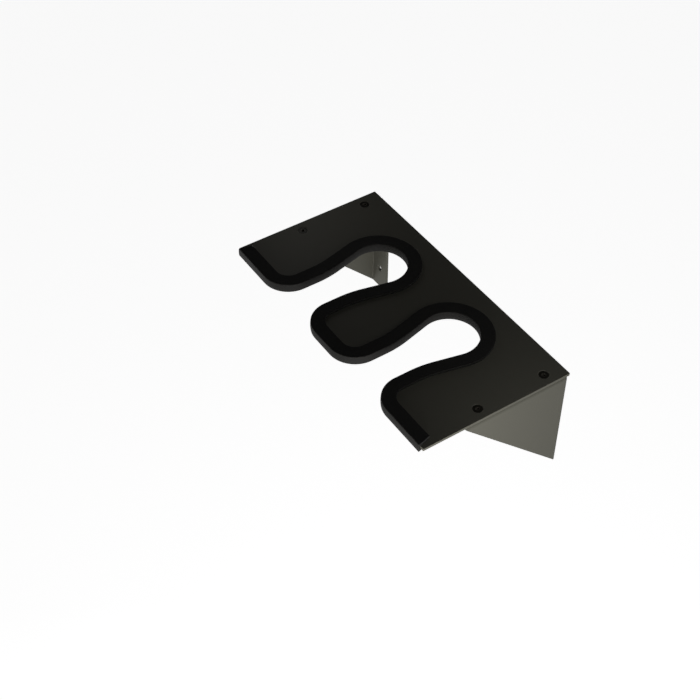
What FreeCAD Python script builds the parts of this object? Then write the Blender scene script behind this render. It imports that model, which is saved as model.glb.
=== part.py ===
import FreeCAD, Part
import math
import os

# Wall rack that holds one pair of boots upside down by the ankles.
# Millimetres. X runs along the wall, the wall is the plane y = 0 and the rack stands out towards -Y, Z is up.
# The origin is the centre of the four wall screw holes.

# Top plate, with the steel left around the slots
PLATE_STEEL = 2.7              # sheet thickness
PLATE_CORNER_RADIUS = 0.6      # at the four outer corners
REAR_BAND = 29.3               # between a slot and the wall
SIDE_BAND = 63.5               # between a slot and the plate's side edge
RIB_WIDTH = 52.0               # between the slots at their widest

# Keyhole slots for the ankles, from the round rear end to the mouth at the front edge
SLOT_RADIUS = 28.5             # round rear end
TAPER_ANGLE = 13.5             # degrees, each side of a slot
NECK_STEP = 9.7                # how far each side of the neck stands inside the round end
NECK_BLEND_RADIUS = 100.0      # from the tapered sides into the neck
NECK_LENGTH = 15.0             # straight sides
MOUTH_RADIUS = 24.0            # finger tips at the front edge

# Soft edging, a U-section pushed over the front and slot edges
TRIM_LEG = 3.0                 # thickness of the leg above the plate, and of the one below
TRIM_WEB = 2.0                 # thickness in front of the sheared edge
TRIM_REACH = 11.0              # how far the legs reach in over the steel
TRIM_SEAT_GAP = 0.2            # between the sheared edge and the web
TRIM_END_INSET = 3.3           # from the plate's side edge to each end of the edging, at the front
TRIM_END_SLANT = 13.0          # degrees that each cut end leans away from the plate's side edge
TRIM_ROUND = 1.0               # outer corners of the section

# Side brackets, bent from sheet
BRACKET_STEEL = 2.7
BRACKET_SETBACK = 43.4         # from the plate's front edge
BRACKET_DROP = 109.2           # down from the plate's underside
BRACKET_TOE_WIDTH = 2.5        # level edge at the foot, out from the wall
BRACKET_SIDE_INSET = 0.6       # from the plate's side edge to the bracket's outer face
BRACKET_FLANGE = 25.0          # width of both flanges, from the outer face
TOP_BEND_RADIUS = 2.5          # inside the bend under the plate
REAR_BEND_RADIUS = 0.8         # inside the bend on the wall
BEND_RELIEF = 1.5              # gap between the two flanges at their corner
FLANGE_CORNER_RADIUS = 6.0     # free corners of the flanges
BRACKET_TOE_RADIUS = 1.5       # lowest corner of the side panel

# Wall screw holes, two in each rear flange
WALL_HOLE_RADIUS = 3.25
WALL_HOLE_SIDE_INSET = 14.5    # from the plate's side edge
WALL_HOLE_DROP = 25.3          # from the plate's underside to the upper pair
WALL_HOLE_RISE = 23.9          # from the bracket's foot to the lower pair

# M5 countersunk socket screws, washers and locking nuts that hold the plate on the brackets
WASHER_BEND_CLEARANCE = 0.2    # from the washer to the start of the bend
SCREW_END_INSET = 19.5         # from the wall and from the bracket's front end
SCREW_RADIUS = 2.5
SCREW_LENGTH = 12.0            # with the head
SCREW_HEAD_RADIUS = 4.7
SCREW_TIP_CHAMFER = 0.5
SCREW_CLEARANCE = 0.25         # radial, in the plate, the bracket and the washer
COUNTERSINK_RADIUS = 5.0       # at the plate's top face, 90 degree cone
SOCKET_FLATS = 3.0
SOCKET_DEPTH = 1.9
WASHER_RADIUS = 5.0
WASHER_THICKNESS = 1.0
NUT_FLATS = 8.0
NUT_HEX_HEIGHT = 3.6
NUT_COLLAR_RADIUS = 3.5        # round locking collar below the hexagon
NUT_COLLAR_HEIGHT = 1.4
NUT_COLLAR_ROUND = 0.5

# Worked out from the sizes above
TAPER = math.radians(TAPER_ANGLE)
TAPER_SHRINK = 1 - math.cos(TAPER)
NECK_HALF_WIDTH = SLOT_RADIUS - NECK_STEP
TAPER_LENGTH = (NECK_STEP - (SLOT_RADIUS + NECK_BLEND_RADIUS) * TAPER_SHRINK) / math.sin(TAPER)
SLOT_CENTRE_X = SLOT_RADIUS + RIB_WIDTH / 2
SLOT_CENTRE_Y = -REAR_BAND - SLOT_RADIUS
TAPER_START_Y = SLOT_CENTRE_Y - SLOT_RADIUS * math.sin(TAPER)
TAPER_END_Y = TAPER_START_Y - TAPER_LENGTH * math.cos(TAPER)
NECK_REAR_Y = TAPER_END_Y - NECK_BLEND_RADIUS * math.sin(TAPER)
MOUTH_CENTRE_Y = NECK_REAR_Y - NECK_LENGTH
MOUTH_HALF_WIDTH = NECK_HALF_WIDTH + MOUTH_RADIUS
FRONT_Y = MOUTH_CENTRE_Y - MOUTH_RADIUS
HALF_WIDTH = SLOT_CENTRE_X + SLOT_RADIUS + SIDE_BAND
WALL_HOLE_X = HALF_WIDTH - WALL_HOLE_SIDE_INSET
WALL_HOLE_Z = (BRACKET_DROP - WALL_HOLE_DROP - WALL_HOLE_RISE) / 2
UNDERSIDE_Z = WALL_HOLE_Z + WALL_HOLE_DROP
TOP_Z = UNDERSIDE_Z + PLATE_STEEL
TRIM_FACE = TRIM_SEAT_GAP + TRIM_WEB
BRACKET_FRONT_Y = FRONT_Y + BRACKET_SETBACK
TOP_BEND_INSET = BRACKET_SIDE_INSET + BRACKET_STEEL + TOP_BEND_RADIUS
SCREW_SIDE_INSET = TOP_BEND_INSET + WASHER_BEND_CLEARANCE + WASHER_RADIUS
CONE_RADIUS_BELOW_PLATE = COUNTERSINK_RADIUS - PLATE_STEEL
SHANK_HOLE_RADIUS = SCREW_RADIUS + SCREW_CLEARANCE
SIDES = (("right", 1), ("left", -1))
SCREW_ROWS = (("rear", -SCREW_END_INSET), ("front", BRACKET_FRONT_Y + SCREW_END_INSET))
UP = FreeCAD.Vector(0, 0, 1)
BACK = FreeCAD.Vector(0, 1, 0)


def point(x, y, z=0.0):
    return FreeCAD.Vector(x, y, z)


def arc(centre, radius, start, middle, end):
    """Arc through three directions, each an angle in degrees about the centre."""
    ends = []
    for angle in (start, middle, end):
        turn = math.radians(angle)
        ends.append(point(centre.x + radius * math.cos(turn), centre.y + radius * math.sin(turn)))
    return Part.Arc(*ends).toShape()


def slot_edges(centre_x, grow):
    """Edge of one slot from its right mouth corner to its left one, moved into the steel by grow."""
    radius = SLOT_RADIUS + grow
    neck = NECK_HALF_WIDTH + grow
    blend = NECK_BLEND_RADIUS - grow
    mouth = MOUTH_RADIUS - grow
    half_edges = {}
    for side in (1, -1):
        inward = 180 if side > 0 else 0
        blend_end = inward - side * TAPER_ANGLE
        neck_x = centre_x + side * neck
        mouth_centre = point(neck_x + side * mouth, MOUTH_CENTRE_Y)
        blend_centre = point(neck_x + side * blend, NECK_REAR_Y)
        taper_end = point(neck_x + side * blend * TAPER_SHRINK, NECK_REAR_Y + blend * math.sin(TAPER))
        taper_start_x = centre_x + side * radius * math.cos(TAPER)
        taper_start = point(taper_start_x, SLOT_CENTRE_Y - radius * math.sin(TAPER))
        half_edges[side] = [
            arc(mouth_centre, mouth, 270, 270 - side * 45, inward),
            Part.makeLine(point(neck_x, MOUTH_CENTRE_Y), point(neck_x, NECK_REAR_Y)),
            arc(blend_centre, blend, inward, (inward + blend_end) / 2, blend_end),
            Part.makeLine(taper_end, taper_start),
        ]
    rear = arc(point(centre_x, SLOT_CENTRE_Y), radius, -TAPER_ANGLE, 90, 180 + TAPER_ANGLE)
    return half_edges[1] + [rear] + half_edges[-1][::-1]


def front_edges(end_x, grow):
    """Whole front edge, slots included, from +end_x to -end_x, moved into the steel by grow."""
    front = FRONT_Y + grow
    outer_x = SLOT_CENTRE_X + MOUTH_HALF_WIDTH
    rib_x = SLOT_CENTRE_X - MOUTH_HALF_WIDTH
    edges = [Part.makeLine(point(end_x, front), point(outer_x, front))]
    edges += slot_edges(SLOT_CENTRE_X, grow)
    edges.append(Part.makeLine(point(rib_x, front), point(-rib_x, front)))
    edges += slot_edges(-SLOT_CENTRE_X, grow)
    edges.append(Part.makeLine(point(-outer_x, front), point(-end_x, front)))
    return edges


def prism(edges, bottom_z, top_z):
    """Solid with these edges as its outline."""
    wire = Part.Wire(Part.__sortEdges__(edges))
    face = Part.Face(wire)
    face.translate(point(0, 0, bottom_z))
    return face.extrude(UP * (top_z - bottom_z))


def cylinder(radius, bottom_z, top_z, x, y):
    return Part.makeCylinder(radius, top_z - bottom_z, point(x, y, bottom_z), UP)


def hexagon(flats, bottom_z, top_z, x, y):
    corner = flats / 2 / math.cos(math.radians(30))
    points = []
    for step in range(7):
        turn = math.radians(60 * step)
        points.append(point(x + corner * math.cos(turn), y + corner * math.sin(turn), bottom_z))
    return Part.Face(Part.makePolygon(points)).extrude(UP * (top_z - bottom_z))


def edges_where(solid, test):
    """Edges whose middle point passes the test."""
    found = []
    for edge in solid.Edges:
        middle = edge.valueAt((edge.FirstParameter + edge.LastParameter) / 2)
        if test(middle, edge):
            found.append(edge)
    return found


def near(a, b):
    return abs(a - b) < 1e-4


def upright(edge):
    return near(edge.BoundBox.XLength, 0) and near(edge.BoundBox.YLength, 0)


def screw_places():
    """Name and place of each of the four screws."""
    for side_name, side in SIDES:
        for row_name, row_y in SCREW_ROWS:
            yield side_name + "_" + row_name, side * (HALF_WIDTH - SCREW_SIDE_INSET), row_y


def countersink(radius, x, y):
    """90 degree cone with this radius at the plate's top face."""
    return Part.makeCone(0, radius, radius, point(x, y, TOP_Z - radius), UP)


def make_top_plate():
    outline = front_edges(HALF_WIDTH, 0)
    outline.append(Part.makeLine(point(-HALF_WIDTH, FRONT_Y), point(-HALF_WIDTH, 0)))
    outline.append(Part.makeLine(point(-HALF_WIDTH, 0), point(HALF_WIDTH, 0)))
    outline.append(Part.makeLine(point(HALF_WIDTH, 0), point(HALF_WIDTH, FRONT_Y)))
    plate = prism(outline, UNDERSIDE_Z, TOP_Z)
    corners = edges_where(plate, lambda middle, edge: upright(edge) and near(abs(middle.x), HALF_WIDTH))
    plate = plate.makeFillet(PLATE_CORNER_RADIUS, corners)
    for name, x, y in screw_places():
        plate = plate.cut(cylinder(SHANK_HOLE_RADIUS, UNDERSIDE_Z, TOP_Z, x, y))
        plate = plate.cut(countersink(COUNTERSINK_RADIUS, x, y))
    return plate


def trim_end_x(grow):
    """Half the edging's length along the front, on the line moved into the steel by grow."""
    return HALF_WIDTH - TRIM_END_INSET - (grow + TRIM_FACE) * math.tan(math.radians(TRIM_END_SLANT))


def trim_band(outer, inner, bottom_z, top_z):
    """Band along the front edge between two lines, each moved into the steel, with slanted ends."""
    outer_x = trim_end_x(outer)
    inner_x = trim_end_x(inner)
    edges = front_edges(outer_x, outer) + front_edges(inner_x, inner)
    for side in (1, -1):
        front_corner = point(side * outer_x, FRONT_Y + outer)
        edges.append(Part.makeLine(front_corner, point(side * inner_x, FRONT_Y + inner)))
    return prism(edges, bottom_z, top_z)


def make_edge_trim():
    low_z = UNDERSIDE_Z - TRIM_LEG
    high_z = TOP_Z + TRIM_LEG
    trim = trim_band(-TRIM_FACE, TRIM_REACH, low_z, high_z)
    end_middle_x = (trim_end_x(-TRIM_FACE) + trim_end_x(TRIM_REACH)) / 2

    def on_rim(middle, edge):
        level = near(middle.z, low_z) or near(middle.z, high_z)
        return level and not near(abs(middle.x), end_middle_x)

    trim = trim.makeFillet(TRIM_ROUND, edges_where(trim, on_rim))
    return trim.cut(trim_band(-TRIM_SEAT_GAP, TRIM_REACH + TRIM_WEB, UNDERSIDE_Z, TOP_Z))


def make_bracket(side):
    """Side panel with a top flange under the plate and a rear flange on the wall."""
    outer_x = HALF_WIDTH - BRACKET_SIDE_INSET
    panel_x = outer_x - BRACKET_STEEL
    flange_x = outer_x - BRACKET_FLANGE
    flange_z = UNDERSIDE_Z - BRACKET_STEEL
    low_z = UNDERSIDE_Z - BRACKET_DROP
    profile = [
        point(panel_x, 0, UNDERSIDE_Z),
        point(panel_x, 0, low_z),
        point(panel_x, -BRACKET_TOE_WIDTH, low_z),
        point(panel_x, BRACKET_FRONT_Y, flange_z),
        point(panel_x, BRACKET_FRONT_Y, UNDERSIDE_Z),
    ]
    side_face = Part.Face(Part.makePolygon(profile + profile[:1]))
    panel = side_face.extrude(point(BRACKET_STEEL, 0, 0))

    def is_toe(middle, edge):
        return near(middle.y, -BRACKET_TOE_WIDTH) and near(middle.z, low_z)

    panel = panel.makeFillet(BRACKET_TOE_RADIUS, edges_where(panel, is_toe))
    top_flange = Part.makeBox(BRACKET_FLANGE, -BRACKET_FRONT_Y, BRACKET_STEEL,
                              point(flange_x, BRACKET_FRONT_Y, flange_z))
    rear_flange = Part.makeBox(BRACKET_FLANGE, BRACKET_STEEL, BRACKET_DROP,
                               point(flange_x, -BRACKET_STEEL, low_z))
    bracket = panel.fuse([top_flange, rear_flange])

    # outside of the two bends
    def is_top_bend(middle, edge):
        return near(middle.x, outer_x) and near(middle.z, UNDERSIDE_Z)

    def is_rear_bend(middle, edge):
        return near(middle.x, outer_x) and near(middle.y, 0)

    outside = Part.makeBox(BRACKET_FLANGE, -BRACKET_FRONT_Y, BRACKET_DROP,
                           point(flange_x, BRACKET_FRONT_Y, low_z))
    outside = outside.makeFillet(TOP_BEND_RADIUS + BRACKET_STEEL, edges_where(outside, is_top_bend))
    outside = outside.makeFillet(REAR_BEND_RADIUS + BRACKET_STEEL, edges_where(outside, is_rear_bend))
    bracket = bracket.common(outside)

    # inside of the two bends, trimmed by the panel's sloping edge
    top_place = point(panel_x - TOP_BEND_RADIUS, BRACKET_FRONT_Y, flange_z - TOP_BEND_RADIUS)
    top_fill = Part.makeBox(TOP_BEND_RADIUS, -BRACKET_FRONT_Y, TOP_BEND_RADIUS, top_place)
    top_fill = top_fill.cut(Part.makeCylinder(TOP_BEND_RADIUS, -BRACKET_FRONT_Y, top_place, BACK))
    rear_place = point(panel_x - REAR_BEND_RADIUS, -BRACKET_STEEL - REAR_BEND_RADIUS, low_z)
    rear_height = BRACKET_DROP - BRACKET_STEEL
    rear_fill = Part.makeBox(REAR_BEND_RADIUS, REAR_BEND_RADIUS, rear_height, rear_place)
    rear_fill = rear_fill.cut(Part.makeCylinder(REAR_BEND_RADIUS, rear_height, rear_place, UP))
    inside = side_face.extrude(point(-max(TOP_BEND_RADIUS, REAR_BEND_RADIUS), 0, 0))
    bracket = bracket.fuse([top_fill.common(inside), rear_fill.common(inside)]).removeSplitter()

    def free_corner(middle, edge):
        front = near(middle.y, BRACKET_FRONT_Y) and upright(edge)
        foot = near(middle.z, low_z) and near(edge.BoundBox.YLength, BRACKET_STEEL)
        return near(middle.x, flange_x) and (front or foot)

    bracket = bracket.makeFillet(FLANGE_CORNER_RADIUS, edges_where(bracket, free_corner))
    relief = BRACKET_STEEL + BEND_RELIEF
    notch_width = BRACKET_FLANGE - BRACKET_STEEL - BEND_RELIEF
    bracket = bracket.cut(Part.makeBox(notch_width, relief, relief,
                                       point(flange_x, -relief, UNDERSIDE_Z - relief)))
    screw_hole_radius = max(SCREW_RADIUS, CONE_RADIUS_BELOW_PLATE) + SCREW_CLEARANCE
    for name, x, y in screw_places():
        if x > 0:
            bracket = bracket.cut(cylinder(screw_hole_radius, flange_z, UNDERSIDE_Z, x, y))
    for z in (WALL_HOLE_Z, -WALL_HOLE_Z):
        place = point(WALL_HOLE_X, -BRACKET_STEEL, z)
        bracket = bracket.cut(Part.makeCylinder(WALL_HOLE_RADIUS, BRACKET_STEEL, place, BACK))
    if side < 0:
        bracket = bracket.mirror(point(0, 0), point(1, 0))
    return bracket


def make_screw(x, y):
    """Countersunk socket screw, its head's cone seated in the plate's countersink."""
    head_z = TOP_Z - (COUNTERSINK_RADIUS - SCREW_HEAD_RADIUS)
    end_z = head_z - SCREW_LENGTH
    head = Part.makeCone(SCREW_RADIUS, SCREW_HEAD_RADIUS, SCREW_HEAD_RADIUS - SCREW_RADIUS,
                         point(x, y, head_z - SCREW_HEAD_RADIUS + SCREW_RADIUS), UP)
    shank = cylinder(SCREW_RADIUS, end_z + SCREW_TIP_CHAMFER, head_z, x, y)
    tip = Part.makeCone(SCREW_RADIUS - SCREW_TIP_CHAMFER, SCREW_RADIUS, SCREW_TIP_CHAMFER,
                        point(x, y, end_z), UP)
    screw = head.fuse([shank, tip]).removeSplitter()
    return screw.cut(hexagon(SOCKET_FLATS, head_z - SOCKET_DEPTH, head_z, x, y))


def make_washer(x, y):
    top_z = UNDERSIDE_Z - BRACKET_STEEL
    disc = cylinder(WASHER_RADIUS, top_z - WASHER_THICKNESS, top_z, x, y)
    return disc.cut(cylinder(SHANK_HOLE_RADIUS, top_z - WASHER_THICKNESS, top_z, x, y))


def make_nut(x, y):
    """Hex nut with bevelled corners and a round locking collar below, on the screw's thread."""
    top_z = UNDERSIDE_Z - BRACKET_STEEL - WASHER_THICKNESS
    hex_z = top_z - NUT_HEX_HEIGHT
    end_z = hex_z - NUT_COLLAR_HEIGHT
    bevel_small = NUT_FLATS / 2
    bevel_wide = bevel_small + NUT_HEX_HEIGHT
    body = hexagon(NUT_FLATS, hex_z, top_z, x, y)
    for low, high in ((bevel_small, bevel_wide), (bevel_wide, bevel_small)):
        body = body.common(Part.makeCone(low, high, NUT_HEX_HEIGHT, point(x, y, hex_z), UP))
    collar = cylinder(NUT_COLLAR_RADIUS, end_z, hex_z, x, y)
    rim = edges_where(collar, lambda middle, edge: near(middle.z, end_z))
    collar = collar.makeFillet(NUT_COLLAR_ROUND, rim)
    nut = body.fuse(collar).removeSplitter()
    return nut.cut(cylinder(SCREW_RADIUS, end_z, top_z, x, y))


def make_parts():
    parts = {"top_plate": make_top_plate(), "edge_trim": make_edge_trim()}
    for side_name, side in SIDES:
        parts["bracket_" + side_name] = make_bracket(side)
    for name, x, y in screw_places():
        parts["screw_" + name] = make_screw(x, y)
        parts["washer_" + name] = make_washer(x, y)
        parts["nut_" + name] = make_nut(x, y)
    return parts


os.makedirs("parts", exist_ok=True)
for node, shape in make_parts().items():
    if not shape.isValid() or len(shape.Solids) != 1:
        raise RuntimeError(node + " is not one valid solid")
    shape.Solids[0].exportStep("parts/" + node + ".step")
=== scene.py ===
import math

import bmesh
import bpy
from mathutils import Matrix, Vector, noise


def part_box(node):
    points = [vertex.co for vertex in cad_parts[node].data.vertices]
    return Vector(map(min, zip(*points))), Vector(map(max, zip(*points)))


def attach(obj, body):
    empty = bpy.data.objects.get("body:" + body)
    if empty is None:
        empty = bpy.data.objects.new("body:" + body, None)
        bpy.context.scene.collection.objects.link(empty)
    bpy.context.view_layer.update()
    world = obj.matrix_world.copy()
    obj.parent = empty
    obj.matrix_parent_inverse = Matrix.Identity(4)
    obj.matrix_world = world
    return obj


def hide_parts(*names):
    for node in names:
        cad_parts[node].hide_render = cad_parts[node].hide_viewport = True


bl_info = {
    "name": "Boot Rack",
    "version": (1, 0, 0),
    "blender": (4, 5, 0),
    "location": "3D View > Sidebar > Boot Rack",
    "description": "Dresses a wall boot rack: coated sheet steel, rubber edging and its fasteners",
    "category": "Object",
}

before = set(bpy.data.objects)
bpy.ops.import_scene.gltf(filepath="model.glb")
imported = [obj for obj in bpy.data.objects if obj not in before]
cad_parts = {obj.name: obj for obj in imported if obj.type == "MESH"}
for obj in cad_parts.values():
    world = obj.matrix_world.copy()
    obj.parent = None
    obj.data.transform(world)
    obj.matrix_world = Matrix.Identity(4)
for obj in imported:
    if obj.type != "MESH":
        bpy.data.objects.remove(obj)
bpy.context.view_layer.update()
MM = 0.001
BODY = "root"
SIDES = ("right", "left")
ROWS = ("rear", "front")
SPOTS = [side + "_" + row for side in SIDES for row in ROWS]
RING_STEPS = 72                 # corners of every turned shape, a multiple of six for the hexagons
PLACE = "extrusion_place"       # how far along and how far across the edging a corner lies, in metres
EDGE = "edge_mask"              # 1 on rounded edges, 0 on faces
SCREW_RADIUS = 2.5 * MM
WASHER_BORE_RADIUS = 2.75 * MM
NUT_COLLAR_RADIUS = 3.5 * MM
NUT_COLLAR_HEIGHT = 1.4 * MM
# Each square light: its name, its place and its side. It shines at the middle of the wall holes.
LIGHTS = (
    ("key", (0.40, -0.34, 0.0), 0.10),
    ("rim", (0.62, -0.40, 0.11), 0.10),
    ("fill", (0.21, -0.06, 0.17), 0.10),
    ("rear", (0.14, 0.30, 0.34), 0.20),
    ("left", (-0.50, 0.28, -0.06), 0.16),
    ("left_fill", (-0.20, -0.06, 0.17), 0.10),
    ("left_front", (-0.25, -0.30, 0.0), 0.10),
)


# ---------------------------------------------------------------- what a user would change

class RackSizes(bpy.types.PropertyGroup):
    """Sizes of the dressed pieces."""
    sheet_edge_radius: bpy.props.FloatProperty(
        name="Sheet edge radius", description="Rounding of the coated sheet edges",
        default=0.35 * MM, min=0.0, unit="LENGTH")
    slot_radius: bpy.props.FloatProperty(
        name="Slot radius", description="Round rear end of an ankle slot", default=28.5 * MM, unit="LENGTH")
    slot_centre_x: bpy.props.FloatProperty(
        name="Slot centre", description="From the middle of the rack to the middle of a slot",
        default=54.5 * MM, unit="LENGTH")
    rear_band: bpy.props.FloatProperty(
        name="Rear band", description="Steel between a slot and the wall", default=29.3 * MM, unit="LENGTH")
    taper_angle: bpy.props.FloatProperty(
        name="Taper angle", description="Lean of each side of a slot", default=math.radians(13.5),
        subtype="ANGLE", unit="ROTATION")
    neck_step: bpy.props.FloatProperty(
        name="Neck step", description="How far each side of the neck stands inside the round end",
        default=9.7 * MM, unit="LENGTH")
    neck_blend_radius: bpy.props.FloatProperty(
        name="Neck blend radius", description="Curve from the tapered side into the neck",
        default=100.0 * MM, unit="LENGTH")
    neck_length: bpy.props.FloatProperty(
        name="Neck length", description="Straight sides of a slot", default=15.0 * MM, unit="LENGTH")
    mouth_radius: bpy.props.FloatProperty(
        name="Mouth radius", description="Rounding of the fingers at the front edge",
        default=24.0 * MM, unit="LENGTH")
    edging_web: bpy.props.FloatProperty(
        name="Edging web", description="Rubber in front of the steel edge, with its seat gap",
        default=2.2 * MM, unit="LENGTH")
    edging_reach: bpy.props.FloatProperty(
        name="Edging reach", description="How far the legs of the edging reach in over the steel",
        default=11.0 * MM, unit="LENGTH")
    edging_round: bpy.props.FloatProperty(
        name="Edging rounding", description="Outer corners of the edging's section",
        default=0.8 * MM, unit="LENGTH")
    edging_slant: bpy.props.FloatProperty(
        name="Edging end slant", description="Lean of each cut end away from the plate's side edge",
        default=math.radians(13.0), subtype="ANGLE", unit="ROTATION")
    edging_end_round: bpy.props.FloatProperty(
        name="Edging end rounding", description="Easing of the outer edges of each cut end",
        default=0.25 * MM, unit="LENGTH")
    edging_end_relief: bpy.props.FloatProperty(
        name="Edging end relief", description="Easing of the edges on the steel at each cut end",
        default=0.9 * MM, unit="LENGTH")
    edging_gape: bpy.props.FloatProperty(
        name="Edging gape", description="How far the lips stand off the plate at a cut end",
        default=0.4 * MM, unit="LENGTH")
    edging_step: bpy.props.FloatProperty(
        name="Edging step", description="Spacing of the edging's rows of corners",
        default=1.6 * MM, unit="LENGTH")
    thread_pitch: bpy.props.FloatProperty(
        name="Thread pitch", description="Pitch of the screw thread", default=0.8 * MM, unit="LENGTH")
    thread_depth: bpy.props.FloatProperty(
        name="Thread depth", description="Depth of the screw thread", default=0.42 * MM, unit="LENGTH")
    socket_flats: bpy.props.FloatProperty(
        name="Socket size", description="Across the flats of the screw's hexagon socket",
        default=3.0 * MM, unit="LENGTH")
    socket_depth: bpy.props.FloatProperty(
        name="Socket depth", description="Depth of the hexagon socket", default=1.9 * MM, unit="LENGTH")


class RackFinishes(bpy.types.PropertyGroup):
    """Colours of the finishes."""
    coat_colour: bpy.props.FloatVectorProperty(
        name="Powder coat", description="Olive-black powder coat on the plate and brackets",
        default=(0.0470, 0.0455, 0.0352), min=0.0, max=1.0, subtype="COLOR", size=3)
    rubber_colour: bpy.props.FloatVectorProperty(
        name="Edging rubber", description="Soft black rubber of the edging",
        default=(0.0058, 0.0055, 0.0048), min=0.0, max=1.0, subtype="COLOR", size=3)
    oxide_colour: bpy.props.FloatVectorProperty(
        name="Black oxide", description="Black oxide on the screws",
        default=(0.0085, 0.0078, 0.0050), min=0.0, max=1.0, subtype="COLOR", size=3)
    zinc_colour: bpy.props.FloatVectorProperty(
        name="Zinc plate", description="Zinc plate on the washers and nuts",
        default=(0.60, 0.61, 0.62), min=0.0, max=1.0, subtype="COLOR", size=3)
    nylon_colour: bpy.props.FloatVectorProperty(
        name="Nylon insert", description="Locking ring in the nuts",
        default=(0.55, 0.54, 0.50), min=0.0, max=1.0, subtype="COLOR", size=3)
    floor_colour: bpy.props.FloatVectorProperty(
        name="Floor", description="Pale studio floor",
        default=(0.90, 0.90, 0.90), min=0.0, max=1.0, subtype="COLOR", size=3)


class RackStage(bpy.types.PropertyGroup):
    """Floor, light and camera."""
    floor_drop: bpy.props.FloatProperty(
        name="Floor drop", description="From the wall holes down to the floor", default=1.1, unit="LENGTH")
    floor_size: bpy.props.FloatProperty(
        name="Floor size", description="Side of the floor", default=24.0, unit="LENGTH")
    key_power: bpy.props.FloatProperty(
        name="Key light", description="Power of the soft light on the right, below the plate",
        default=2.62, subtype="POWER", unit="POWER")
    rim_power: bpy.props.FloatProperty(
        name="Rim light", description="Power of the small light that only just clears the plate",
        default=0.95, subtype="POWER", unit="POWER")
    fill_power: bpy.props.FloatProperty(
        name="Fill light", description="Power of the small soft light above the right end",
        default=0.064, subtype="POWER", unit="POWER")
    rear_power: bpy.props.FloatProperty(
        name="Rear light", description="Power of the soft light above and behind the right end",
        default=0.22, subtype="POWER", unit="POWER")
    left_power: bpy.props.FloatProperty(
        name="Left light", description="Power of the soft light behind the left end, below the plate",
        default=3.2, subtype="POWER", unit="POWER")
    left_fill_power: bpy.props.FloatProperty(
        name="Left fill light", description="Power of the small soft light above the left end",
        default=0.034, subtype="POWER", unit="POWER")
    left_front_power: bpy.props.FloatProperty(
        name="Left front light", description="Power of the soft light on the left, below the plate",
        default=0.27, subtype="POWER", unit="POWER")
    lens: bpy.props.FloatProperty(
        name="Lens", description="Focal length of the camera, in millimetres", default=69.17, unit="CAMERA")
    camera_azimuth: bpy.props.FloatProperty(
        name="Camera turn", description="Around the rack, from straight ahead", default=math.radians(56.52),
        subtype="ANGLE", unit="ROTATION")
    camera_elevation: bpy.props.FloatProperty(
        name="Camera height angle", description="Above the horizon", default=math.radians(45.36),
        subtype="ANGLE", unit="ROTATION")
    camera_place: bpy.props.FloatVectorProperty(
        name="Camera place", description="Where the camera stands", default=(0.69768, -0.58732, 0.87952),
        subtype="XYZ", unit="LENGTH", size=3)


# ---------------------------------------------------------------- shader node groups

def fill_inputs(tree, node, inputs):
    """Fills a node's inputs from values or from other sockets."""
    for name, value in inputs.items():
        if isinstance(value, bpy.types.NodeSocket):
            tree.links.new(value, node.inputs[name])
        else:
            node.inputs[name].default_value = value


def add_node(tree, kind, inputs=None, **settings):
    """New node with its settings and its inputs."""
    node = tree.nodes.new(kind)
    for name, value in settings.items():
        setattr(node, name, value)
    fill_inputs(tree, node, inputs or {})
    return node


def maths(tree, operation, first, second=0.0):
    return add_node(tree, "ShaderNodeMath", {0: first, 1: second}, operation=operation).outputs[0]


def spread(tree, value, low, high, new_low, new_high):
    """Value moved from one range to another, and held inside it."""
    inputs = {"Value": value, "From Min": low, "From Max": high, "To Min": new_low, "To Max": new_high}
    return add_node(tree, "ShaderNodeMapRange", inputs).outputs["Result"]


def noise_texture(tree, place, scale, detail, roughness=0.5):
    inputs = {"Vector": place, "Scale": scale, "Detail": detail, "Roughness": roughness}
    return add_node(tree, "ShaderNodeTexNoise", inputs).outputs["Fac"]


def blend_colours(tree, share, first, second):
    share_socket, first_socket, second_socket, result_socket = 0, 6, 7, 2
    inputs = {share_socket: share, first_socket: first, second_socket: second}
    return add_node(tree, "ShaderNodeMix", inputs, data_type="RGBA").outputs[result_socket]


def new_group(name, inputs, outputs):
    """Empty shader node group with these sockets, and its input and output nodes."""
    group = bpy.data.node_groups.new(name, "ShaderNodeTree")
    for socket_name, kind, default in inputs:
        socket = group.interface.new_socket(socket_name, in_out="INPUT", socket_type=kind)
        if default is not None:
            socket.default_value = default
    for socket_name, kind in outputs:
        group.interface.new_socket(socket_name, in_out="OUTPUT", socket_type=kind)
    return group, group.nodes.new("NodeGroupInput"), group.nodes.new("NodeGroupOutput")


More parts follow.
